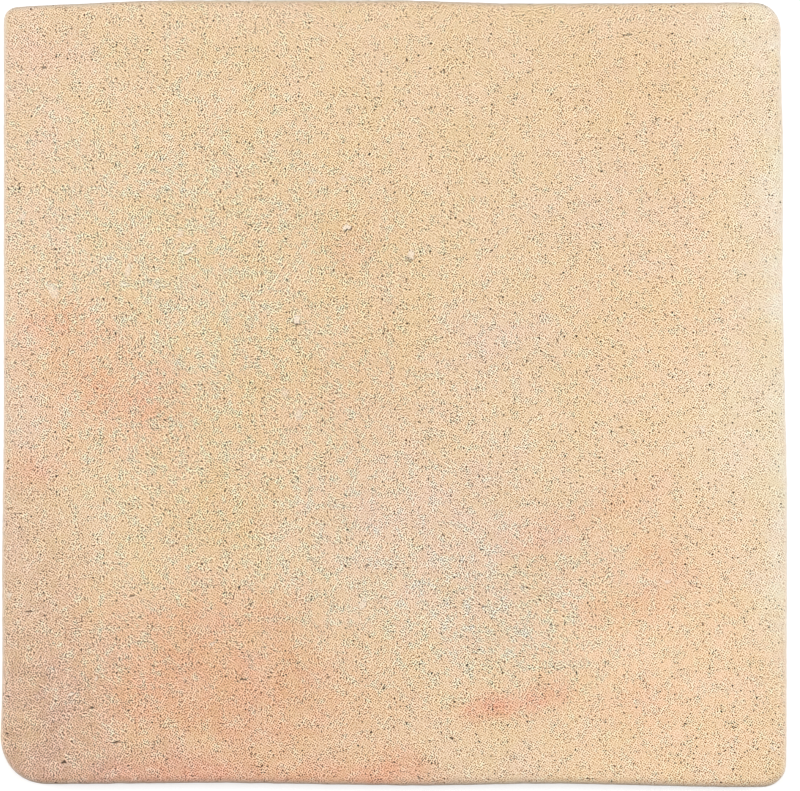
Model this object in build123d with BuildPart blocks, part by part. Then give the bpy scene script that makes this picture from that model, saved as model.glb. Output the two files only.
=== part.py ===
"""A rustic square floor tile in unglazed porcelain, lying face up.

One pressed and fired piece. Its outline is an uneven square with four different corners, a soft
arris runs round the face, the walls draft in towards the back, and the back is keyed for adhesive
with a waffle of shallow cells. Millimetres, +Z up, origin under the middle of the back.
"""

import os

from build123d import *

# The square that the tile is made to, and its section
side = 300.0
thickness = 10.0
arris_radius = 3.2
wall_land = 0.6
wall_draft = 4.0
back_chamfer = 0.8

# Corners in plan, with +Y as north: how far each stands inside the square, in X and Y, and its radius
north_west_inset = (1.3, 2.7)
north_east_inset = (2.55, 0.8)
south_east_inset = (0.3, 0.0)
south_west_inset = (-0.4, 0.9)
north_west_radius = 4.8
north_east_radius = 10.0
south_east_radius = 9.0
south_west_radius = 17.5

# Where each edge wanders between its corners: (share of the edge's length, distance inside the square),
# counted from the west along the north and south edges and from the north along the other two
north_wander = [(0.19, 0.05), (0.51, 0.0), (0.65, 1.25)]
east_wander = [(0.09, 2.4), (0.19, 1.45), (0.36, 1.8), (0.62, 0.05)]
south_wander = [(0.28, 1.65), (0.54, 0.5), (0.70, 1.45), (0.91, 0.0)]
west_wander = [(0.55, 1.3), (0.71, 0.65), (0.86, 0.75)]
wander_radius = 500.0

# The waffle key of the back
cell_pitch = 25.0
rib_width = 3.0
cell_depth = 1.0
cell_draft = 35.0
key_margin = 12.0

half = side / 2


def from_west(share):
    """X of a point that lies that share of the side from the west."""
    return share * side - half


def from_north(share):
    """Y of a point that lies that share of the side from the north."""
    return half - share * side


# The outline's points, clockwise from the north-west corner, each with the radius that softens it
north_west = (-half + north_west_inset[0], half - north_west_inset[1])
north_east = (half - north_east_inset[0], half - north_east_inset[1])
south_east = (half - south_east_inset[0], -half + south_east_inset[1])
south_west = (-half + south_west_inset[0], -half + south_west_inset[1])
outline = [
    (north_west, north_west_radius),
    *[((from_west(share), half - inset), wander_radius) for share, inset in north_wander],
    (north_east, north_east_radius),
    *[((half - inset, from_north(share)), wander_radius) for share, inset in east_wander],
    (south_east, south_east_radius),
    *[((from_west(share), -half + inset), wander_radius) for share, inset in reversed(south_wander)],
    (south_west, south_west_radius),
    *[((-half + inset, from_north(share)), wander_radius) for share, inset in reversed(west_wander)],
]

girth_height = thickness - arris_radius - wall_land
cell_width = cell_pitch - rib_width
cells_across = int((side - 2 * key_margin) // cell_pitch)

with BuildPart() as tile:
    # The widest section of the tile, at the foot of the upright band
    with BuildSketch(Plane.XY.offset(girth_height)) as girth:
        with BuildLine():
            FilletPolyline(
                [point for point, radius in outline],
                radius=[radius for point, radius in outline],
                close=True,
            )
        make_face()

    # Upright above the girth, drafted in towards the back below it
    extrude(girth.sketch, amount=thickness - girth_height)
    extrude(girth.sketch, amount=-girth_height, taper=wall_draft)

    # Soft arris round the face, broken edge round the back
    fillet(tile.faces().sort_by(Axis.Z)[-1].edges(), radius=arris_radius)
    chamfer(tile.faces().sort_by(Axis.Z)[0].edges(), length=back_chamfer)

    # Waffle of shallow cells, with drafted walls, pressed into the back
    with BuildSketch(Plane.XY) as cells:
        with GridLocations(cell_pitch, cell_pitch, cells_across, cells_across):
            Rectangle(cell_width, cell_width)
    extrude(cells.sketch, amount=cell_depth, taper=cell_draft, mode=Mode.SUBTRACT)

tile.part.label = "tile"

os.makedirs("parts", exist_ok=True)
export_step(tile.part, "parts/tile.step")
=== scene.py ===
"""Looks of a rustic, sand-faced porcelain floor tile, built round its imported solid.

The tile is one closed mesh. Its face is a fine grid laid inside the solid's outline, its arris and wall are
extruded from that grid's rim, and its keyed back is taken over from the solid. Sizes are in millimetres on
the tile, with the origin under its middle, +X and +Y along its edges and +Z out of its face.
"""

import logging
import math
from dataclasses import dataclass, field
from enum import Enum
from typing import Iterable, Optional, Union

import bmesh
import bpy
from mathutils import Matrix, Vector, noise


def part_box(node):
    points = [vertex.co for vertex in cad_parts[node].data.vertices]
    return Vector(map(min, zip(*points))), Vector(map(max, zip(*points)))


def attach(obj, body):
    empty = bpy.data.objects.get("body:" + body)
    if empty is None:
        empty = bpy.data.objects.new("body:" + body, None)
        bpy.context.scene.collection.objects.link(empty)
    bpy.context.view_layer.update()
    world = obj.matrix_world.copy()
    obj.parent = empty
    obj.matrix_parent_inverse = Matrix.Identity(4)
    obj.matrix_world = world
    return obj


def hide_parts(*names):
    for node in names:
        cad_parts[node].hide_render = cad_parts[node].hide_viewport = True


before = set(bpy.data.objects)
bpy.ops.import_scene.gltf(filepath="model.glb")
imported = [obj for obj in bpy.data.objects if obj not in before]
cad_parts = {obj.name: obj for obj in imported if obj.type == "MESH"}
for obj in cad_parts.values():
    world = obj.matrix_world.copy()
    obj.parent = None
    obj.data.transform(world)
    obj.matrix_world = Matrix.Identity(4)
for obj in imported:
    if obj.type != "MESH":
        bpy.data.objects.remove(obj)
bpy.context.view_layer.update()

log = logging.getLogger("tile")

MM = 0.001
Colour = tuple[float, float, float]
Value = Union[float, Colour, bpy.types.NodeSocket]


def linear(red: int, green: int, blue: int) -> Colour:
    """Turns a colour as a screen shows it into the linear colour that a shader takes.

    Args:
        red: Red from 0 to 255.
        green: Green from 0 to 255.
        blue: Blue from 0 to 255.

    Returns:
        The linear red, green and blue from 0 to 1.
    """
    shares = [channel / 255 for channel in (red, green, blue)]
    return tuple(s / 12.92 if s <= 0.04045 else ((s + 0.055) / 1.055) ** 2.4 for s in shares)


def ease(value: float, start: float, end: float) -> float:
    """Rises smoothly from 0 at start to 1 at end.

    Args:
        value: The number to place between the two.
        start: Where the rise begins.
        end: Where the rise ends, above or below start.

    Returns:
        A share from 0 to 1.
    """
    share = min(1.0, max(0.0, (value - start) / (end - start)))
    return share * share * (3 - 2 * share)


class Tint(Enum):
    """What lies over the ground in soft patches, named as its mask on the mesh: firing colours, coarse sand, and a
    darker corner whose patches also paint shade along the edges.
    """

    HONEY = "honey"
    PEACH = "peach"
    EARTH = "earth"
    VEIL = "veil"
    # Darker brown at the lower left corner; its patches along the lower and upper edges are painted shade
    DARK_CORNER_AND_PAINTED_EDGE_SHADE = "dark_corner_and_painted_edge_shade"
    CREAM = "cream"
    FLUSH = "flush"
    COARSE = "coarse"


class SpotKind(Enum):
    """What a single spot in the face is, with the mark that the mesh stores for it."""

    NODULE = 1.0
    PIT = -1.0


@dataclass(frozen=True)
class Oval:
    """A turned oval on the face.

    Attributes:
        x: Middle, along X.
        y: Middle, along Y.
        long: Half its length.
        short: Half its width.
        turn: Degrees from +X to its length, anticlockwise.
    """

    x: float
    y: float
    long: float
    short: float
    turn: float = 0.0

    def place(self, x: float, y: float) -> tuple[float, float]:
        """Gives a point's place in the oval, where the rim is 1 away from the middle.

        Args:
            x: The point's X.
            y: The point's Y.

        Returns:
            Its place along the oval's length and width.
        """
        angle = math.radians(self.turn)
        east, north = x - self.x, y - self.y
        along = east * math.cos(angle) + north * math.sin(angle)
        across = north * math.cos(angle) - east * math.sin(angle)
        return along / self.long, across / self.short


@dataclass(frozen=True)
class Patch:
    """A soft patch of one tint, with its strength at the middle; the tints are firing colours, coarse sand and the
    darker corner with its painted edge shade.
    """

    tint: Tint
    oval: Oval
    strength: float


@dataclass(frozen=True)
class Spot:
    """A lime nodule that stands up from the face, or a pit in it, by that height or depth."""

    kind: SpotKind
    oval: Oval
    height: float


PATCHES: tuple[Patch, ...] = (
    # Honey over the upper half and left of the middle, and browner blotches in it
    Patch(Tint.HONEY, Oval(-40, 50, 95, 80, 20), 0.30),
    Patch(Tint.HONEY, Oval(-74, 116, 44, 24, 0), 0.12),
    Patch(Tint.HONEY, Oval(-62, 66, 24, 22, 0), 0.15),
    Patch(Tint.HONEY, Oval(-18, 58, 30, 24, 30), 0.35),
    Patch(Tint.HONEY, Oval(-52, 0, 44, 28, 0), 0.45),
    Patch(Tint.HONEY, Oval(-9, 12, 30, 24, 40), 0.30),
    Patch(Tint.HONEY, Oval(-70, -46, 36, 28, 20), 0.75),
    Patch(Tint.HONEY, Oval(88, 118, 44, 26, 0), 0.35),
    Patch(Tint.HONEY, Oval(76, 30, 26, 28, 0), 0.30),
    # Warm peach down the right-hand half
    Patch(Tint.PEACH, Oval(112, 20, 55, 170, 0), 0.38),
    Patch(Tint.PEACH, Oval(108, -110, 74, 66, 0), 0.85),
    # Terracotta across the lower left
    Patch(Tint.EARTH, Oval(-60, -109, 52, 40, 4), 0.66),
    Patch(Tint.EARTH, Oval(-86, -122, 78, 44, 0), 0.44),
    Patch(Tint.EARTH, Oval(-12, -122, 46, 34, 15), 0.28),
    Patch(Tint.EARTH, Oval(-104, -84, 38, 22, 0), 0.38),
    Patch(Tint.EARTH, Oval(-18, 57, 14, 10, 30), 0.34),
    Patch(Tint.EARTH, Oval(-15, -15, 46, 60, 0), 0.17),
    Patch(Tint.EARTH, Oval(-88, -10, 24, 26, 0), 0.22),
    Patch(Tint.EARTH, Oval(-92, -108, 26, 22, 0), 0.28),
    Patch(Tint.EARTH, Oval(-66, -80, 38, 20, 0), 0.28),
    Patch(Tint.EARTH, Oval(-122, -124, 24, 30, 0), 0.25),
    # Pinker veil under the middle, thin veils above it, and pale margins
    Patch(Tint.VEIL, Oval(20, -54, 66, 50, -20), 0.75),
    Patch(Tint.VEIL, Oval(-20, -46, 30, 22, 0), 0.20),
    Patch(Tint.VEIL, Oval(38, 17, 32, 26, 40), 0.50),
    Patch(Tint.VEIL, Oval(84, 70, 36, 34, 0), 0.40),
    Patch(Tint.VEIL, Oval(-146, 80, 34, 100, 0), 0.38),
    Patch(Tint.VEIL, Oval(-138, 132, 30, 26, 0), 0.36),
    Patch(Tint.VEIL, Oval(-146, -10, 24, 34, 0), 0.50),
    Patch(Tint.VEIL, Oval(-142, -28, 22, 20, 0), 0.30),
    Patch(Tint.VEIL, Oval(-148, -62, 14, 30, 0), 0.40),
    Patch(Tint.VEIL, Oval(24, -148, 32, 13, 0), 0.55),
    # Darker lower left corner and left edge, painted shade along the arris of the lower edge, and a thin line of
    # painted shade along the upper edge
    Patch(Tint.DARK_CORNER_AND_PAINTED_EDGE_SHADE, Oval(-150, -118, 48, 60, 0), 0.52),
    Patch(Tint.DARK_CORNER_AND_PAINTED_EDGE_SHADE, Oval(-132, -152, 70, 22, 0), 0.95),
    Patch(Tint.DARK_CORNER_AND_PAINTED_EDGE_SHADE, Oval(-126, -120, 34, 30, 0), 0.46),
    Patch(Tint.DARK_CORNER_AND_PAINTED_EDGE_SHADE, Oval(-70, -148, 80, 13, 0), 0.52),
    Patch(Tint.DARK_CORNER_AND_PAINTED_EDGE_SHADE, Oval(-10, 151, 190, 4.6, 0), 0.30),
    Patch(Tint.DARK_CORNER_AND_PAINTED_EDGE_SHADE, Oval(-138, -60, 34, 50, 0), 0.30),
    # Cream down the right-hand edge
    Patch(Tint.CREAM, Oval(150, 60, 34, 150, 0), 0.50),
    Patch(Tint.CREAM, Oval(150, 40, 10, 170, 0), 0.60),
    Patch(Tint.CREAM, Oval(140, 140, 44, 34, 0), 0.38),
    Patch(Tint.CREAM, Oval(126, -18, 34, 46, 0), 0.25),
    Patch(Tint.CREAM, Oval(152, -75, 20, 66, 0), 0.32),
    # Flushes of red where the fire licked the face
    Patch(Tint.FLUSH, Oval(-112, 8, 44, 32, -35), 0.38),
    Patch(Tint.FLUSH, Oval(-129, 29, 15, 9, -20), 0.34),
    Patch(Tint.FLUSH, Oval(-109, 3, 24, 15, -10), 0.16),
    Patch(Tint.FLUSH, Oval(-99, -8, 14, 11, 0), 0.22),
    Patch(Tint.FLUSH, Oval(-138, -29, 24, 10, 15), 0.38),
    Patch(Tint.FLUSH, Oval(46, -117, 30, 14, 22), 0.24),
    Patch(Tint.FLUSH, Oval(38, -119.5, 11, 7, 10), 0.74),
    Patch(Tint.FLUSH, Oval(57, -114.5, 13, 6, 10), 0.55),
    Patch(Tint.FLUSH, Oval(-62, -148, 84, 12, 0), 0.65),
    Patch(Tint.FLUSH, Oval(-2, -146, 18, 11, 0), 0.42),
    Patch(Tint.FLUSH, Oval(88, -62, 48, 30, 50), 0.10),
    Patch(Tint.FLUSH, Oval(84, -40, 34, 9, 28), 0.26),
    Patch(Tint.FLUSH, Oval(104, -64, 20, 8, -35), 0.26),
    Patch(Tint.FLUSH, Oval(91, -80, 26, 9, 15), 0.26),
    Patch(Tint.FLUSH, Oval(56, -54, 18, 12, 30), 0.20),
    Patch(Tint.FLUSH, Oval(90, -118, 24, 14, 0), 0.18),
    Patch(Tint.FLUSH, Oval(-133, 127, 16, 11, 0), 0.14),
    # Coarser sand from the upper left down to the lower left corner
    Patch(Tint.COARSE, Oval(-50, -40, 150, 130, 0), 0.60),
    Patch(Tint.COARSE, Oval(-80, 70, 110, 90, 0), 0.55),
    Patch(Tint.COARSE, Oval(-125, -122, 55, 48, 0), 0.75),
    Patch(Tint.COARSE, Oval(-97, -2, 34, 28, 0), 0.20),
    Patch(Tint.COARSE, Oval(40, -85, 60, 40, 0), 0.45),
    Patch(Tint.COARSE, Oval(70, 60, 60, 70, 0), 0.20),
)

SPOTS: tuple[Spot, ...] = (
    Spot(SpotKind.NODULE, Oval(-129.5, 39.1, 3.8, 1.8, -61), 0.16),
    Spot(SpotKind.NODULE, Oval(-101.0, 47.0, 3.6, 1.2, 75), 0.15),
    Spot(SpotKind.NODULE, Oval(-102.4, 41.5, 2.0, 1.2, 0), 0.13),
    Spot(SpotKind.NODULE, Oval(-90.2, 40.7, 1.5, 1.0, 40), 0.13),
    Spot(SpotKind.NODULE, Oval(-77.6, 54.4, 2.5, 0.9, 32), 0.27),
    Spot(SpotKind.NODULE, Oval(-81.4, 60.9, 1.6, 2.2, -15), 0.14),
    Spot(SpotKind.NODULE, Oval(-141.3, 67.3, 1.8, 1.5, 0), 0.14),
    Spot(SpotKind.NODULE, Oval(-36.9, 28.1, 1.7, 1.9, 0), 0.30),
    Spot(SpotKind.NODULE, Oval(-36.0, -8.0, 1.8, 2.5, 10), 0.17),
    Spot(SpotKind.NODULE, Oval(-41.4, 0.3, 1.9, 1.6, 0), 0.13),
    Spot(SpotKind.NODULE, Oval(-17.8, 63.5, 1.6, 1.5, 30), 0.34),
    Spot(SpotKind.NODULE, Oval(6.6, 52.9, 1.5, 2.3, -20), 0.27),
    Spot(SpotKind.NODULE, Oval(-31.2, 81.0, 1.3, 1.5, 0), 0.15),
    Spot(SpotKind.NODULE, Oval(-19.3, 81.8, 1.3, 1.5, 0), 0.15),
    Spot(SpotKind.NODULE, Oval(-74.6, 26.9, 1.4, 1.2, 0), 0.14),
    Spot(SpotKind.NODULE, Oval(-113.3, -108.3, 1.3, 0.7, 65), 0.24),
    Spot(SpotKind.NODULE, Oval(-122.6, -114.2, 1.5, 0.8, 25), 0.28),
    Spot(SpotKind.NODULE, Oval(-68.9, -95.0, 1.3, 0.8, 20), 0.18),
    Spot(SpotKind.NODULE, Oval(-11.7, -80.1, 1.6, 2.2, -15), 0.16),
    Spot(SpotKind.NODULE, Oval(104.1, -71.4, 1.4, 0.8, 15), 0.24),
    Spot(SpotKind.NODULE, Oval(117.5, -13.5, 1.2, 1.2, 0), 0.15),
    Spot(SpotKind.NODULE, Oval(144.1, -134.6, 1.4, 0.8, -30), 0.18),
    Spot(SpotKind.NODULE, Oval(-146.2, -76.7, 1.0, 1.5, 0), 0.22),
    Spot(SpotKind.PIT, Oval(-132.9, 123.7, 1.3, 0.8, 10), 0.26),
    Spot(SpotKind.PIT, Oval(-137.1, 14.7, 1.0, 0.8, 20), 0.20),
    Spot(SpotKind.PIT, Oval(-138.8, -83.0, 1.6, 0.7, 0), 0.28),
    Spot(SpotKind.PIT, Oval(-99.4, -77.1, 1.4, 0.7, 20), 0.26),
    Spot(SpotKind.PIT, Oval(-54.0, -80.1, 1.1, 0.7, 60), 0.26),
    Spot(SpotKind.PIT, Oval(-114.6, -119.6, 1.4, 0.9, 10), 0.32),
    Spot(SpotKind.PIT, Oval(-105.1, -132.7, 1.6, 1.2, 20), 0.28),
    Spot(SpotKind.PIT, Oval(-57.3, -108.9, 1.4, 0.7, 0), 0.28),
    Spot(SpotKind.PIT, Oval(-47.5, -108.3, 0.8, 0.7, 0), 0.24),
    Spot(SpotKind.PIT, Oval(-25.1, -108.3, 1.0, 0.7, 30), 0.24),
    Spot(SpotKind.PIT, Oval(-125.3, -140.5, 1.4, 0.9, 10), 0.32),
    Spot(SpotKind.PIT, Oval(22.2, -131.6, 1.8, 0.8, -32), 0.30),
    Spot(SpotKind.PIT, Oval(86.6, -13.1, 1.0, 0.8, 0), 0.22),
    Spot(SpotKind.PIT, Oval(-10.2, -65.7, 1.0, 0.8, 20), 0.22),
    Spot(SpotKind.PIT, Oval(89.3, 136.3, 1.9, 0.6, 12), 0.21),
    Spot(SpotKind.PIT, Oval(100.0, 103.5, 2.2, 0.5, 52), 0.13),
)


@dataclass
class Outline:
    """The tile's plan, as evenly spaced stations that run anticlockwise from the south-west corner.

    Attributes:
        height: Height at which the solid is cut for its plan.
        per_side: Steps from one corner to the next.
        smoothing: Times that each station is drawn towards its neighbours.
        stations: Where the plan runs, filled in by read.
        inward: The direction into the tile at each station, filled in by read.
    """

    height: float = 6.5
    per_side: int = 240
    smoothing: int = 3
    stations: list[Vector] = field(default_factory=list)
    inward: list[Vector] = field(default_factory=list)

    def read(self, solid: bpy.types.Object) -> None:
        """Reads the plan from the solid.

        Args:
            solid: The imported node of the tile.
        """
        run = self._section(solid)
        corners = [
            max(range(len(run)), key=lambda i: east * run[i].x + north * run[i].y)
            for east, north in ((-1, -1), (1, -1), (1, 1), (-1, 1))
        ]
        run = run[corners[0]:] + run[:corners[0]]
        stops = [(corner - corners[0]) % len(run) for corner in corners] + [len(run)]
        run.append(run[0])
        for first, last in zip(stops, stops[1:]):
            self.stations += self._even_steps(run[first:last + 1])
        for _ in range(self.smoothing):
            self.stations = [
                (self.stations[i - 1] + 2 * here + self.stations[(i + 1) % len(self.stations)]) / 4
                for i, here in enumerate(self.stations)
            ]
        for i in range(len(self.stations)):
            ahead = self.stations[(i + 1) % len(self.stations)] - self.stations[i - 1]
            self.inward.append(Vector((-ahead.y, ahead.x)).normalized())

    def _section(self, solid: bpy.types.Object) -> list[Vector]:
        """Cuts a copy of the solid level and walks round the cut anticlockwise.

        Args:
            solid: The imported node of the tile.

        Returns:
            The cut's corners in order, in millimetres.
        """
        bm = bmesh.new()
        bm.from_mesh(solid.data)
        bmesh.ops.remove_doubles(bm, verts=bm.verts, dist=1e-6)
        bmesh.ops.bisect_plane(
            bm, geom=bm.verts[:] + bm.edges[:] + bm.faces[:], dist=1e-7, plane_co=(0, 0, self.height * MM),
            plane_no=(0, 0, 1), clear_inner=True, clear_outer=True,
        )
        start = before = bm.verts[:][0]
        here = start.link_edges[0].other_vert(start)
        run = [start.co.xy / MM]
        while here != start:
            run.append(here.co.xy / MM)
            ahead = [edge.other_vert(here) for edge in here.link_edges]
            before, here = here, next(vert for vert in ahead if vert != before)
        bm.free()
        area = sum(run[i - 1].x * run[i].y - run[i].x * run[i - 1].y for i in range(len(run)))
        return run if area > 0 else run[::-1]

    def _even_steps(self, run: list[Vector]) -> list[Vector]:
        """Divides one side of the plan into equal steps.

        Args:
            run: The side's points from corner to corner.

        Returns:
            The first point of each step.
        """
        lengths = [0.0]
        for first, last in zip(run, run[1:]):
            lengths.append(lengths[-1] + (last - first).length)
        steps, leg = [], 0
        for i in range(self.per_side):
            gone = lengths[-1] * i / self.per_side
            while lengths[leg + 1] < gone:
                leg += 1
            share = (gone - lengths[leg]) / (lengths[leg + 1] - lengths[leg])
            steps.append(run[leg].lerp(run[leg + 1], share))
        return steps

    def at(self, index: int, inset: float) -> Vector:
        """Gives a point of the plan, moved into the tile.

        Args:
            index: The station's number.
            inset: How far it moves in.

        Returns:
            The point's X and Y.
        """
        i = index % len(self.stations)
        return self.stations[i] + self.inward[i] * inset


@dataclass
class RusticTile:
    """The tile: its sizes, and the mesh that they make.

    Attributes:
        thickness: From the bed to the face.
        arris: Radius of the soft arris round the face.
        arris_steps: Faces across the arris.
        arris_wander: Share by which the arris widens and narrows along its run.
        girth: Height of the widest section.
        draft: How far the wall leans in per millimetre below the girth.
        break_edge: Height of the broken edge round the back.
        swell: Height of the face's broad swells.
        lump: Height of the lumps on them.
        tooth: Height of the finest relief in the mesh.
        edge_wobble: Depth of the small nicks in the plan.
        tallest: Height of the tallest nodule.
        drift_seed: Seed of the noise by which the patches' edges wander.
    """

    thickness: float = 10.0
    arris: float = 3.5
    arris_steps: int = 7
    arris_wander: float = 0.16
    girth: float = 6.2
    draft: float = 0.07
    break_edge: float = 0.8
    swell: float = 0.16
    lump: float = 0.08
    tooth: float = 0.03
    edge_wobble: float = 0.22
    tallest: float = 0.36
    drift_seed: int = 5
    outline: Outline = field(default_factory=Outline)

    def build(self, solid: bpy.types.Object) -> bpy.types.Object:
        """Builds the whole tile as one closed mesh.

        Args:
            solid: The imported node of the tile.

        Returns:
            The new object.
        """
        self.outline.read(solid)
        bm = bmesh.new()
        bm.verts.layers.float_vector.new("skin")
        self._turn_edge(bm, self._lay_face(bm))
        self._close_back(bm, solid)
        self._raise_relief(bm)
        self._mark_tints(bm)
        self._mark_spots(bm)
        bmesh.ops.recalc_face_normals(bm, faces=bm.faces)
        for face in bm.faces:
            face.smooth = face.calc_center_median().z > 1.2 * MM
        mesh = bpy.data.meshes.new("rustic_tile")
        bm.to_mesh(mesh)
        bm.free()
        tile = bpy.data.objects.new("rustic_tile", mesh)
        bpy.context.scene.collection.objects.link(tile)
        return tile

    def _arris_at(self, station: int) -> float:
        """Gives the arris's radius at a station, wider in places than in others."""
        here = self.outline.at(station, 0)
        wide = self.arris * (1 + self.arris_wander * noise.noise((here.x / 17, here.y / 17, 3.7)))
        return min(wide, self.thickness - self.girth - 0.1)

    def _nick_at(self, station: int) -> float:
        """Gives how far the plan draws in at a station, never outwards."""
        here = self.outline.at(station, 0)
        rough = noise.fractal((here.x / 6, here.y / 6, 9.1), 0.8, 2.0, 3)
        return self.edge_wobble * min(1.0, max(0.0, 0.45 + 0.6 * rough))

    def _lay_face(self, bm: bmesh.types.BMesh) -> list[bmesh.types.BMVert]:
        """Lays a fine grid over the flat of the face, drawn to the plan on all four sides.

        Args:
            bm: The mesh to add to.

        Returns:
            The grid's rim, in the order of the stations.
        """
        steps = self.outline.per_side
        grid = bmesh.ops.create_grid(bm, x_segments=steps, y_segments=steps, size=0.5)["verts"]
        edge = [self.outline.at(i, self._arris_at(i) + self._nick_at(i)) for i in range(4 * steps)]
        rim: dict[int, bmesh.types.BMVert] = {}
        inner = []
        for vert in grid:
            column, row = round((vert.co.x + 0.5) * steps), round((vert.co.y + 0.5) * steps)
            u, v = column / steps, row / steps
            south, north = edge[column], edge[3 * steps - column]
            east, west = edge[steps + row], edge[(4 * steps - row) % (4 * steps)]
            low = edge[0].lerp(edge[steps], u)
            high = edge[3 * steps].lerp(edge[2 * steps], u)
            place = south.lerp(north, v) + west.lerp(east, u) - low.lerp(high, v)
            vert.co = (place.x * MM, place.y * MM, self.thickness * MM)
            if row == 0:
                rim[column] = vert
            elif column == steps:
                rim[steps + row] = vert
            elif row == steps:
                rim[3 * steps - column] = vert
            elif column == 0:
                rim[4 * steps - row] = vert
            elif min(column, steps - column) < 22 and min(row, steps - row) < 22:
                inner.append(vert)
        for _ in range(12):
            bmesh.ops.smooth_vert(
                bm, verts=inner, factor=0.5, use_axis_x=True, use_axis_y=True, use_axis_z=False,
            )
        self._spread_skin(bm, grid)
        return [rim[i] for i in range(4 * steps)]

    def _spread_skin(self, bm: bmesh.types.BMesh, verts: Iterable[bmesh.types.BMVert]) -> None:
        """Writes where the finish is read on the face or the back: straight above or below.

        Args:
            bm: The tile's mesh.
            verts: The vertices of the face or the back.
        """
        skin = bm.verts.layers.float_vector["skin"]
        for vert in verts:
            vert[skin] = (vert.co.x / MM, vert.co.y / MM, 0.0)

    def _turn_edge(self, bm: bmesh.types.BMesh, rim: list[bmesh.types.BMVert]) -> None:
        """Extrudes the arris, the wall and the broken edge of the back from the face's rim.

        Args:
            bm: The mesh to add to.
            rim: The face's rim, in the order of the stations.
        """
        ring = rim
        bends = [math.pi / 2 * step / self.arris_steps for step in range(1, self.arris_steps + 1)]
        for bend in bends:
            before, ring = ring, self._extrude_ring(bm, ring)
            for i, vert in enumerate(ring):
                radius = self._arris_at(i)
                place = self.outline.at(i, self._nick_at(i) + radius * (1 - math.sin(bend)))
                vert.co = (place.x * MM, place.y * MM, (self.thickness - radius * (1 - math.cos(bend))) * MM)
            self._unroll_skin(bm, before, ring)
        wall = [self.girth, self.girth * 0.62, self.girth * 0.34, self.break_edge, 0.0]
        for height in wall:
            before, ring = ring, self._extrude_ring(bm, ring)
            lean = (self.girth - max(height, self.break_edge)) * self.draft
            drawn = 0.45 if height == 0.0 else 0.0
            for i, vert in enumerate(ring):
                fade = ease(height, 0.0, self.girth)
                place = self.outline.at(i, self._nick_at(i) * fade + lean + drawn)
                vert.co = (place.x * MM, place.y * MM, height * MM)
            self._unroll_skin(bm, before, ring)

    def _unroll_skin(
        self, bm: bmesh.types.BMesh, before: list[bmesh.types.BMVert], ring: list[bmesh.types.BMVert],
    ) -> None:
        """Writes where the finish is read on a ring: as far out from the ring before it as the surface runs.

        Args:
            bm: The tile's mesh.
            before: The ring before it.
            ring: The ring.
        """
        skin = bm.verts.layers.float_vector["skin"]
        for i, (start, end) in enumerate(zip(before, ring)):
            out = self.outline.inward[i] * ((end.co - start.co).length / MM)
            end[skin] = start[skin] - out.to_3d()

    def _extrude_ring(self, bm: bmesh.types.BMesh, ring: list[bmesh.types.BMVert]) -> list[bmesh.types.BMVert]:
        """Extrudes a closed ring once.

        Args:
            bm: The mesh that holds it.
            ring: The ring's vertices in order.

        Returns:
            The new ring's vertices in the same order.
        """
        count = len(ring)
        edges = [bm.edges.get((ring[i], ring[(i + 1) % count])) for i in range(count)]
        made = bmesh.ops.extrude_edge_only(bm, edges=edges)["geom"]
        fresh = {item for item in made if isinstance(item, bmesh.types.BMVert)}
        return [
            next(other for edge in vert.link_edges if (other := edge.other_vert(vert)) in fresh) for vert in ring
        ]

    def _close_back(self, bm: bmesh.types.BMesh, solid: bpy.types.Object) -> None:
        """Takes the keyed back over from the solid and joins it to the wall's foot.

        Args:
            bm: The mesh to add to.
            solid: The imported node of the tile.
        """
        before = set(bm.verts)
        bm.from_mesh(solid.data)
        added = [vert for vert in bm.verts if vert not in before]
        bmesh.ops.remove_doubles(bm, verts=added, dist=1e-6)
        added = [vert for vert in bm.verts if vert not in before]
        self._spread_skin(bm, added)
        reach = (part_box("tile")[1].x / MM) - 8.0
        faces = {face for vert in added for face in vert.link_faces}
        outer = [
            face for face in faces
            if max(vert.co.z for vert in face.verts) > 1e-5
            and max(max(abs(vert.co.x), abs(vert.co.y)) for vert in face.verts) > reach * MM
        ]
        outer += [face for face in faces if min(vert.co.z for vert in face.verts) > 3 * MM and face not in outer]
        bmesh.ops.delete(bm, geom=list(set(outer)), context="FACES")
        loose = [edge for edge in bm.edges if edge.is_boundary]
        bmesh.ops.triangle_fill(bm, edges=loose, use_beauty=True, use_dissolve=False, normal=(0, 0, -1))

    def _depth_at(self, x: float, y: float) -> float:
        """Gives how far the face lies under its highest level, apart from nodules and pits.

        Args:
            x: The point's X.
            y: The point's Y.

        Returns:
            A depth from 0 up.
        """
        broad = noise.fractal((x / 46, y / 46, 0.3), 1.0, 2.0, 2)
        lumpy = noise.fractal((x / 11, y / 11, 5.2), 0.9, 2.0, 2)
        fine = noise.noise((x / 2.6, y / 2.6, 8.4))
        height = self.swell * broad + self.lump * lumpy + self.tooth * fine
        return max(0.0, 0.22 - height)

    def _raise_relief(self, bm: bmesh.types.BMesh) -> None:
        """Moves the face and arris by their relief, and the nodules and pits by their height.

        Args:
            bm: The tile's mesh.
        """
        low = self.thickness - self.arris
        for vert in bm.verts:
            z = vert.co.z / MM
            if z < low:
                continue
            x, y = vert.co.x / MM, vert.co.y / MM
            height = -self._depth_at(x, y)
            for spot in SPOTS:
                if abs(x - spot.oval.x) < 8 and abs(y - spot.oval.y) < 8:
                    along, across = spot.oval.place(x, y)
                    share = max(0.0, 1 - (along * along + across * across) / 1.4)
                    height += spot.height * 0.5 * share * spot.kind.value
            z += height * ease(z, low, self.thickness)
            vert.co.z = min(z, self.thickness) * MM

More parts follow.
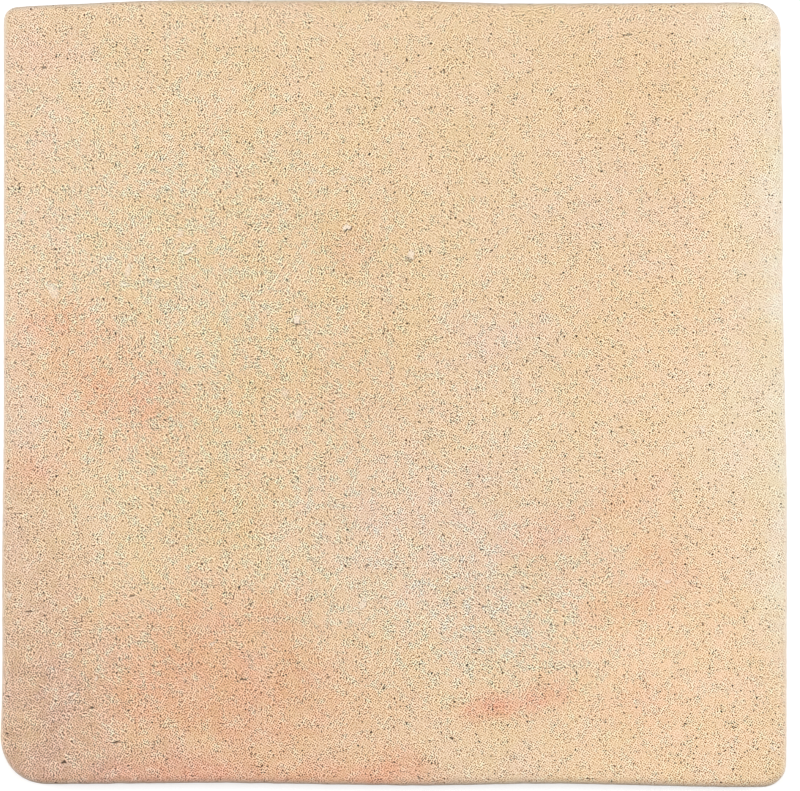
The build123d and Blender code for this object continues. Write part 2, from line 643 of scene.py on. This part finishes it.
    def _mark_tints(self, bm: bmesh.types.BMesh) -> None:
        """Writes each tint's mask on the mesh, painted edge shade included, with wandering edges, and those of the
        worn arris and bare body.

        Args:
            bm: The tile's mesh.
        """
        noise.seed_set(self.drift_seed)
        masks = {tint: bm.verts.layers.float.new(tint.value) for tint in Tint}
        bare = bm.verts.layers.float.new("bare")
        worn = bm.verts.layers.float.new("worn")
        for vert in bm.verts:
            x, y, z = vert.co / MM
            vert[bare] = ease(z + 0.8 * noise.noise((x / 5, y / 5, z / 5)), 4.6, 2.6)
            vert[worn] = ease(z, self.thickness - 0.4, self.thickness - 2.2) * ease(z, 4.0, self.girth)
            drift = noise.noise_vector((x / 24, y / 24, 1.5)) * 9 + noise.noise_vector((x / 7, y / 7, 4.5)) * 3.0
            for patch in PATCHES:
                oval = patch.oval
                if max(abs(x - oval.x), abs(y - oval.y)) > 1.3 * max(oval.long, oval.short) + 10:
                    continue
                ease_off = min(1.0, min(oval.long, oval.short) / 16)
                along, across = oval.place(x + drift.x * ease_off, y + drift.y * ease_off)
                share = ease(math.hypot(along, across), 1.25, 0.0)
                vert[masks[patch.tint]] = min(1.0, vert[masks[patch.tint]] + patch.strength * share)

    def _mark_spots(self, bm: bmesh.types.BMesh) -> None:
        """Writes on each face corner its place in the nearest spot and the spot's kind.

        Args:
            bm: The tile's mesh.
        """
        places = bm.loops.layers.float_vector.new("spot")
        far = Vector((9.0, 9.0, 0.0))
        for face in bm.faces:
            middle = face.calc_center_median() / MM
            near = [s for s in SPOTS if abs(middle.x - s.oval.x) < 11 and abs(middle.y - s.oval.y) < 11]
            spot: Optional[Spot] = min(
                near, key=lambda s: math.hypot(*s.oval.place(middle.x, middle.y)), default=None,
            )
            for loop in face.loops:
                loop[places] = far
                if spot and middle.z > self.girth:
                    x, y, _ = loop.vert.co / MM
                    loop[places] = (*spot.oval.place(x, y), spot.kind.value * spot.height / self.tallest)


class Wiring:
    """A node tree with short ways to place its nodes and join them."""

    def __init__(self, tree: bpy.types.NodeTree) -> None:
        """Takes a tree and empties it."""
        self.tree = tree
        tree.nodes.clear()

    def add(self, kind: str, **settings: object) -> bpy.types.Node:
        """Places a node.

        Args:
            kind: The node's type.
            settings: Its properties by name.

        Returns:
            The node.
        """
        node = self.tree.nodes.new(kind)
        for name, value in settings.items():
            setattr(node, name, value)
        return node

    def feed(self, socket: bpy.types.NodeSocket, value: Value) -> None:
        """Joins a socket to another one, or sets its own value."""
        if isinstance(value, bpy.types.NodeSocket):
            self.tree.links.new(value, socket)
        elif socket.type == "RGBA":
            socket.default_value = (*value, 1.0)
        else:
            socket.default_value = value

    def sum(self, operation: str, first: Value, second: Value = 0.0, clamp: bool = False) -> bpy.types.NodeSocket:
        """Works one sum on two values.

        Args:
            operation: The Math node's operation.
            first: Its first value.
            second: Its second value.
            clamp: Whether the answer stays from 0 to 1.

        Returns:
            The answer.
        """
        node = self.add("ShaderNodeMath", operation=operation, use_clamp=clamp)
        self.feed(node.inputs[0], first)
        self.feed(node.inputs[1], second)
        return node.outputs[0]

    def range(
        self, value: Value, low: float, high: float, start: float = 0.0, end: float = 1.0, smooth: bool = False,
    ) -> bpy.types.NodeSocket:
        """Moves a value from one range to another and holds it there.

        Args:
            value: The value to move.
            low: Where the range begins.
            high: Where the range ends.
            start: What low becomes.
            end: What high becomes.
            smooth: Whether it eases in and out.

        Returns:
            The moved value.
        """
        kind = "SMOOTHSTEP" if smooth else "LINEAR"
        node = self.add("ShaderNodeMapRange", interpolation_type=kind, clamp=True)
        for socket, item in zip(node.inputs, (value, low, high, start, end)):
            self.feed(socket, item)
        return node.outputs[0]

    def noise(
        self, place: bpy.types.NodeSocket, size: float, detail: float = 2.0, roughness: float = 0.5,
    ) -> bpy.types.NodeSocket:
        """Makes soft noise.

        Args:
            place: Where it is read, in millimetres.
            size: How far apart its knots are.
            detail: Finer layers on top.
            roughness: How strong those layers are.

        Returns:
            The noise, about 0.5.
        """
        node = self.add("ShaderNodeTexNoise", noise_dimensions="2D")
        self.feed(node.inputs["Vector"], place)
        self.feed(node.inputs["Scale"], 1 / size)
        self.feed(node.inputs["Detail"], detail)
        self.feed(node.inputs["Roughness"], roughness)
        return node.outputs[0]

    def grains(
        self, place: bpy.types.NodeSocket, size: float, scatter: float = 1.0,
    ) -> tuple[bpy.types.NodeSocket, ...]:
        """Makes scattered grains.

        Args:
            place: Where they are read, in millimetres.
            size: How far apart they are.
            scatter: How far they stray from even rows.

        Returns:
            The distance from the nearest grain's middle, as a share of size, and three numbers of its own.
        """
        node = self.add("ShaderNodeTexVoronoi", feature="F1", voronoi_dimensions="2D")
        self.feed(node.inputs["Vector"], place)
        self.feed(node.inputs["Scale"], 1 / size)
        self.feed(node.inputs["Randomness"], scatter)
        own = self.add("ShaderNodeSeparateColor")
        self.feed(own.inputs[0], node.outputs["Color"])
        return node.outputs["Distance"], *own.outputs

    def shade(self, operation: str, *values: Value) -> bpy.types.NodeSocket:
        """Works one sum on the three channels of a colour at once.

        Args:
            operation: The Vector Math node's operation.
            values: What it works on.

        Returns:
            The answer.
        """
        node = self.add("ShaderNodeVectorMath", operation=operation)
        for socket, value in zip(node.inputs, values):
            self.feed(socket, value)
        return node.outputs[0]

    def blend(self, share: Value, first: Value, second: Value, mode: str = "MIX") -> bpy.types.NodeSocket:
        """Lays one colour over another.

        Args:
            share: How much of the second shows.
            first: The colour below.
            second: The colour above.
            mode: The Mix node's way of mixing.

        Returns:
            The mixed colour.
        """
        node = self.add("ShaderNodeMix", data_type="RGBA", blend_type=mode)
        self.feed(node.inputs[0], share)
        self.feed(node.inputs[6], first)
        self.feed(node.inputs[7], second)
        return node.outputs[2]

    def mask(self, name: str) -> bpy.types.Node:
        """Places the node that reads an attribute of the mesh."""
        return self.add("ShaderNodeAttribute", attribute_name=name)


@dataclass(frozen=True)
class SandedBisque:
    """The finish of the tile: matt fired clay with sand in its skin.

    Attributes:
        ground: The colour between the patches.
        tints: The firing colours and the darker corner, whose patches also paint shade along the edges, in the
            order in which they are laid.
        worn: The paler skin that wear leaves on the arris.
        body: The plain body on the wall and back.
        nodule: Lime in a nodule, also laid as painted highlight on the lower lip of a pit.
        grit_and_painted_shadow: Burnt-out grains in a speck, and painted shadow in the upper half of a pit and
            under a taller nodule.
        grain_size: How far apart the grains of sand are.
        grain_turn: Degrees by which their rows are turned.
        grain_lift: How much lighter in tone the skin is between the grains' hollows.
        grain_drop: How much darker in tone a deep hollow is than that.
        darkest: The tone that no hollow is darker than.
        brightest: The tone that no grain is brighter than.
        roughness: Of the whole skin.
    """

    ground: Colour = linear(232, 208, 172)
    tints: tuple[tuple[Tint, Colour], ...] = (
        (Tint.HONEY, linear(225, 198, 155)),
        (Tint.PEACH, linear(243, 211, 176)),
        (Tint.EARTH, linear(225, 183, 148)),
        (Tint.VEIL, linear(229, 205, 182)),
        # Darker brown of the lower left corner, also laid as painted shade along the lower and upper edges
        (Tint.DARK_CORNER_AND_PAINTED_EDGE_SHADE, linear(205, 174, 148)),
        (Tint.CREAM, linear(239, 230, 207)),
        (Tint.FLUSH, linear(230, 173, 142)),
    )
    worn: Colour = linear(224, 216, 205)
    body: Colour = linear(222, 193, 163)
    nodule: Colour = linear(252, 236, 217)
    grit_and_painted_shadow: Colour = linear(36, 23, 12)
    grain_size: float = 0.78
    grain_turn: float = 31.0
    grain_lift: Colour = (0.118, 0.106, 0.107)
    grain_drop: Colour = (0.755, 0.94, 1.04)
    darkest: Colour = (0.22, 0.11, 0.03)
    brightest: Colour = (0.985, 0.97, 0.93)
    roughness: float = 0.86

    def make(self) -> bpy.types.Material:
        """Makes the material.

        Returns:
            The material.
        """
        material = bpy.data.materials.new("sanded_bisque")
        material.use_nodes = True
        w = Wiring(material.node_tree)
        place = w.mask("skin").outputs["Vector"]
        coarse = w.range(w.mask(Tint.COARSE.value).outputs["Fac"], 0.0, 1.0, 0.72, 1.34)
        calm = w.range(w.mask(Tint.CREAM.value).outputs["Fac"], 0.0, 1.0, 1.0, 0.6)
        calm = w.sum("MULTIPLY", calm, w.range(w.mask("worn").outputs["Fac"], 0.0, 1.0, 1.0, 0.4))
        busy = w.range(w.noise(place, 4.4, 3.0, 0.65), 0.33, 0.67, 0.36, 1.38)
        busy = w.sum("MULTIPLY", busy, w.sum("MULTIPLY", coarse, calm))

        colour = self._fired_ground(w, place)
        colour, hollows = self._sand(w, place, busy, colour)
        colour, specks = self._specks(w, place, busy, colour)
        colour, spot_height = self._spots(w, place, colour)

        shader = w.add("ShaderNodeBsdfPrincipled")
        w.feed(shader.inputs["Base Color"], colour)
        w.feed(shader.inputs["Roughness"], self.roughness)
        shader.inputs["Specular IOR Level"].default_value = 0.2
        depth = w.sum("ADD", w.sum("MULTIPLY", hollows, 0.05), w.sum("MULTIPLY", specks, 0.10))
        bump = w.add("ShaderNodeBump")
        bump.inputs["Strength"].default_value = 1.0
        bump.inputs["Distance"].default_value = MM
        w.feed(bump.inputs["Height"], w.sum("SUBTRACT", spot_height, depth))
        w.feed(shader.inputs["Normal"], bump.outputs[0])
        output = w.add("ShaderNodeOutputMaterial")
        w.feed(output.inputs["Surface"], shader.outputs[0])
        return material

    def _fired_ground(self, w: Wiring, place: bpy.types.NodeSocket) -> bpy.types.NodeSocket:
        """Lays the firing colours, and the darker corner with its painted edge shade, over the ground, each broken
        up by a mottle.

        Args:
            w: The material's wiring.
            place: Where the pattern is read, in millimetres.

        Returns:
            The colour of the fired skin.
        """
        colour: Value = self.ground
        uneven = w.range(w.noise(place, 9.0, 3.0, 0.6), 0.3, 0.7, 0.68, 1.32)
        for tint, shade in self.tints:
            strength = w.mask(tint.value).outputs["Fac"]
            colour = w.blend(w.sum("MULTIPLY", strength, uneven, clamp=True), colour, shade)
        mood = w.range(w.noise(place, 15.0, 4.0, 0.62), 0.34, 0.66)
        mottle = w.blend(mood, (0.985, 0.985, 0.935), (1.02, 1.01, 1.065))
        colour = w.blend(1.0, colour, mottle, "MULTIPLY")
        colour = w.blend(w.sum("MULTIPLY", w.mask("worn").outputs["Fac"], 0.55), colour, self.worn)
        body = w.blend(1.0, self.body, mottle, "MULTIPLY")
        return w.blend(w.mask("bare").outputs["Fac"], colour, body)

    def _sand(
        self, w: Wiring, place: bpy.types.NodeSocket, busy: bpy.types.NodeSocket, colour: bpy.types.NodeSocket,
    ) -> tuple[bpy.types.NodeSocket, bpy.types.NodeSocket]:
        """Lays fine sand over the skin: light grains with dark hollows between them.

        Args:
            w: The material's wiring.
            place: Where the pattern is read, in millimetres.
            busy: How rough the sand is there.
            colour: The colour below.

        Returns:
            The sanded colour, and how deep the hollows are.
        """
        turned = w.add("ShaderNodeVectorRotate", rotation_type="Z_AXIS")
        w.feed(turned.inputs["Vector"], place)
        w.feed(turned.inputs["Angle"], math.radians(self.grain_turn))
        distance, own, rare, pale = w.grains(turned.outputs[0], self.grain_size, 0.5)
        depth = w.sum("ADD", w.range(own, 0.0, 1.0, 0.6, 1.0), w.range(rare, 0.86, 0.97, 0.0, 0.8))
        hollow = w.sum("MINIMUM", w.sum("MULTIPLY", w.range(distance, 0.35, 0.20), depth), 1.15)
        rough = w.sum("MULTIPLY", hollow, busy)
        tone = w.add("ShaderNodeGamma")
        w.feed(tone.inputs["Color"], colour)
        w.feed(tone.inputs["Gamma"], 1 / 2.2)
        light = w.sum("MULTIPLY", busy, w.range(pale, 0.0, 1.0, 0.6, 1.4))
        lifted = w.shade("ADD", tone.outputs[0], w.shade("MULTIPLY", light, self.grain_lift))
        moved = w.shade("SUBTRACT", lifted, w.shade("MULTIPLY", rough, self.grain_drop))
        moved = w.shade("MINIMUM", w.shade("MAXIMUM", moved, self.darkest), self.brightest)
        sanded = w.add("ShaderNodeGamma")
        w.feed(sanded.inputs["Color"], moved)
        w.feed(sanded.inputs["Gamma"], 2.2)
        return sanded.outputs[0], rough

    def _specks(
        self, w: Wiring, place: bpy.types.NodeSocket, busy: bpy.types.NodeSocket, colour: bpy.types.NodeSocket,
    ) -> tuple[bpy.types.NodeSocket, bpy.types.NodeSocket]:
        """Scatters small dark specks of burnt-out grit, more of them where the sand is rough.

        Args:
            w: The material's wiring.
            place: Where the pattern is read, in millimetres.
            busy: How rough the sand is there.
            Scatters small dark specks of burnt-out grains, more of them where the sand is rough.

        Returns:
            The speckled colour, and the specks' mask.
        """
        total: Value = 0.0
        for size, least, most, share, dark in ((1.2, 0.18, 0.29, 0.14, 1.0), (4.6, 0.26, 0.40, 0.18, 1.0)):
            distance, own, bulk, _ = w.grains(place, size)
            reach = w.range(bulk, 0.0, 1.0, least / size, most / size)
            there = w.sum("LESS_THAN", own, w.sum("MULTIPLY", busy, share))
            inside = w.range(w.sum("DIVIDE", distance, reach), 1.08, 0.84, 0.0, dark)
            total = w.sum("MAXIMUM", total, w.sum("MULTIPLY", inside, there))
        return w.blend(total, colour, self.grit_and_painted_shadow), total

    def _spots(
        self, w: Wiring, place: bpy.types.NodeSocket, colour: bpy.types.NodeSocket,
    ) -> tuple[bpy.types.NodeSocket, bpy.types.NodeSocket]:
        """Colours and shapes the single nodules and pits that the mesh marks, with painted shadow under the taller
        nodules and in the pits' upper halves, and painted highlight on the pits' lower lips.

        Args:
            w: The material's wiring.
            place: Where the pattern is read, in millimetres.
            colour: The colour below.

        Returns:
            The colour with them, and their height in millimetres.
        """
        marks = w.add("ShaderNodeSeparateXYZ")
        w.feed(marks.inputs[0], w.mask("spot").outputs["Vector"])
        along, across, kind = marks.outputs
        far = w.sum("SQRT", w.sum("ADD", w.sum("MULTIPLY", along, along), w.sum("MULTIPLY", across, across)))
        rough = w.noise(place, 1.3, 2.0, 0.6)
        far = w.sum("ADD", far, w.range(rough, 0.25, 0.75, -0.45, 0.45))
        strong = w.sum("ABSOLUTE", kind)
        nodule = w.sum("GREATER_THAN", kind, 0.01)
        pit = w.sum("LESS_THAN", kind, -0.01)
        lime = w.sum("MULTIPLY", w.range(far, 1.10, 0.60, smooth=True), nodule)
        # Painted shadow: the upper half of a pit is darkened
        shaded = w.sum("MULTIPLY", w.range(far, 0.98, 0.60, smooth=True), w.range(across, -0.25, 0.25))
        hollow = w.sum("MULTIPLY", shaded, pit)
        ring = w.sum("MULTIPLY", w.range(far, 0.80, 1.0), w.range(far, 1.25, 1.05))
        # The lower side of each spot's rim, where the painted shadow and painted highlight go
        below = w.sum("MULTIPLY", ring, w.range(across, -0.2, -0.6))
        # Painted shadow: a dark crescent on the lower rim of each taller nodule
        painted_shadow_crescent = w.sum("MULTIPLY", w.sum("MULTIPLY", below, nodule), w.range(strong, 0.55, 0.85))
        # Painted highlight: a pale lip on the lower rim of each pit
        painted_highlight_lip = w.sum("MULTIPLY", below, pit)
        colour = w.blend(w.sum("MULTIPLY", lime, w.range(strong, 0.35, 0.9, 0.38, 0.72)), colour, self.nodule)
        # Lays the pits' painted highlight in the lime colour
        colour = w.blend(w.sum("MULTIPLY", painted_highlight_lip, 0.55), colour, self.nodule)
        # Lays the taller nodules' painted shadow in the dark grit colour
        colour = w.blend(w.sum("MULTIPLY", painted_shadow_crescent, 0.95), colour, self.grit_and_painted_shadow)
        # Lays the pits' painted shadow in the dark grit colour
        colour = w.blend(w.sum("MULTIPLY", hollow, w.range(strong, 0.35, 0.9, 0.25, 0.95)), colour, self.grit_and_painted_shadow)
        height = w.sum("SUBTRACT", w.sum("MULTIPLY", lime, 0.13), w.sum("MULTIPLY", hollow, 0.30))
        return colour, height


@dataclass
class Studio:
    """The stage: a pale floor, soft light from the far side, and a camera straight above.

    Attributes:
        frame_width: Width of the picture on the tile.
        aim: Where the picture's middle lies on the tile.
        lens: Focal length.
        sensor: Width of the camera's sensor.
        floor_size: Side of the floor.
        floor_colour: The floor's paint.
        ambient: Strength of the light from all round.
    """

    frame_width: float = 304.84
    aim: tuple[float, float] = (2.38, -0.69)
    lens: float = 200.0
    sensor: float = 36.0
    floor_size: float = 6000.0
    floor_colour: Colour = (0.50, 0.50, 0.50)
    ambient: float = 0.18

    def build(self) -> None:
        """Sets up the floor, the light and the camera."""
        bpy.context.scene.view_settings.view_transform = "Standard"
        self._floor()
        self._world()
        self._lamp("far_window", (0.0, 0.84, 3.8), (2.5, 1.8), 38.5)
        self._lamp("right_strip", (2.70, 0.33, 1.50), (1.6, 0.9), 69.0)
        self._lamp("left_strip", (-2.70, 0.33, 1.50), (1.6, 0.9), 69.0)
        self._camera()

    def _floor(self) -> None:
        """Lays the floor, which shows white to the camera and keeps the tile's shadow."""
        bm = bmesh.new()
        bmesh.ops.create_grid(bm, x_segments=2, y_segments=2, size=self.floor_size / 2 * MM)
        mesh = bpy.data.meshes.new("floor")
        bm.to_mesh(mesh)
        bm.free()
        floor = bpy.data.objects.new("floor", mesh)
        bpy.context.scene.collection.objects.link(floor)
        material = bpy.data.materials.new("pale_floor")
        material.use_nodes = True
        w = Wiring(material.node_tree)
        paint = w.add("ShaderNodeBsdfDiffuse")
        w.feed(paint.inputs["Color"], self.floor_colour)
        glow = w.add("ShaderNodeEmission")
        ray = w.add("ShaderNodeLightPath")
        seen = w.sum("MAXIMUM", ray.outputs["Is Camera Ray"], ray.outputs["Is Glossy Ray"])
        w.feed(glow.inputs["Strength"], w.sum("MULTIPLY", seen, 0.64))
        both = w.add("ShaderNodeAddShader")
        w.feed(both.inputs[0], paint.outputs[0])
        w.feed(both.inputs[1], glow.outputs[0])
        w.feed(w.add("ShaderNodeOutputMaterial").inputs["Surface"], both.outputs[0])
        mesh.materials.append(material)

    def _world(self) -> None:
        """Makes the light from all round, and the white that the camera sees behind the floor."""
        world = bpy.data.worlds.new("studio")
        world.use_nodes = True
        bpy.context.scene.world = world
        w = Wiring(world.node_tree)
        ray = w.add("ShaderNodeLightPath")
        seen = w.sum("MAXIMUM", ray.outputs["Is Camera Ray"], ray.outputs["Is Glossy Ray"])
        glow = w.add("ShaderNodeBackground")
        w.feed(glow.inputs["Strength"], w.range(seen, 0.0, 1.0, self.ambient, 1.0))
        w.feed(w.add("ShaderNodeOutputWorld").inputs["Surface"], glow.outputs[0])

    def _lamp(
        self, name: str, place: tuple[float, float, float], size: tuple[float, float], power: float,
    ) -> None:
        """Hangs a soft rectangular lamp that faces the tile.

        Args:
            name: The lamp's name.
            place: Where it hangs, in metres.
            size: Its width and height, in metres.
            power: Its power in watts.
        """
        lamp = bpy.data.lights.new(name, "AREA")
        lamp.shape, lamp.size, lamp.size_y, lamp.energy = "RECTANGLE", *size, power
        holder = bpy.data.objects.new(name, lamp)
        holder.location = place
        holder.rotation_euler = (-Vector(place)).to_track_quat("-Z", "Y").to_euler()
        bpy.context.scene.collection.objects.link(holder)

    def _camera(self) -> None:
        """Hangs the camera over the tile, square to it."""
        data = bpy.data.cameras.new("camera")
        data.lens, data.sensor_width, data.clip_end = self.lens, self.sensor, 100.0
        camera = bpy.data.objects.new("camera", data)
        away = self.lens * self.frame_width / self.sensor
        camera.location = (self.aim[0] * MM, self.aim[1] * MM, (away + 6.5) * MM)
        bpy.context.scene.collection.objects.link(camera)
        bpy.context.scene.camera = camera


def report_pieces(pieces: Iterable[bpy.types.Object]) -> None:
    """Logs each piece with its triangles and size.

    Args:
        pieces: The finished pieces.
    """
    for piece in pieces:
        triangles = sum(len(face.vertices) - 2 for face in piece.data.polygons)
        size = " x ".join(f"{side / MM:.1f}" for side in piece.dimensions)
        log.info("%s: %d triangles, %s mm", piece.name, triangles, size)


def main() -> None:
    """Builds the tile and its stage."""
    logging.basicConfig(level=logging.INFO, format="%(name)s: %(message)s")
    tile = RusticTile().build(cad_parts["tile"])
    tile.data.materials.append(SandedBisque().make())
    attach(tile, "root")
    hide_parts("tile")
    Studio().build()
    bpy.context.view_layer.update()
    report_pieces([tile])


if __name__ == "__main__":
    main()
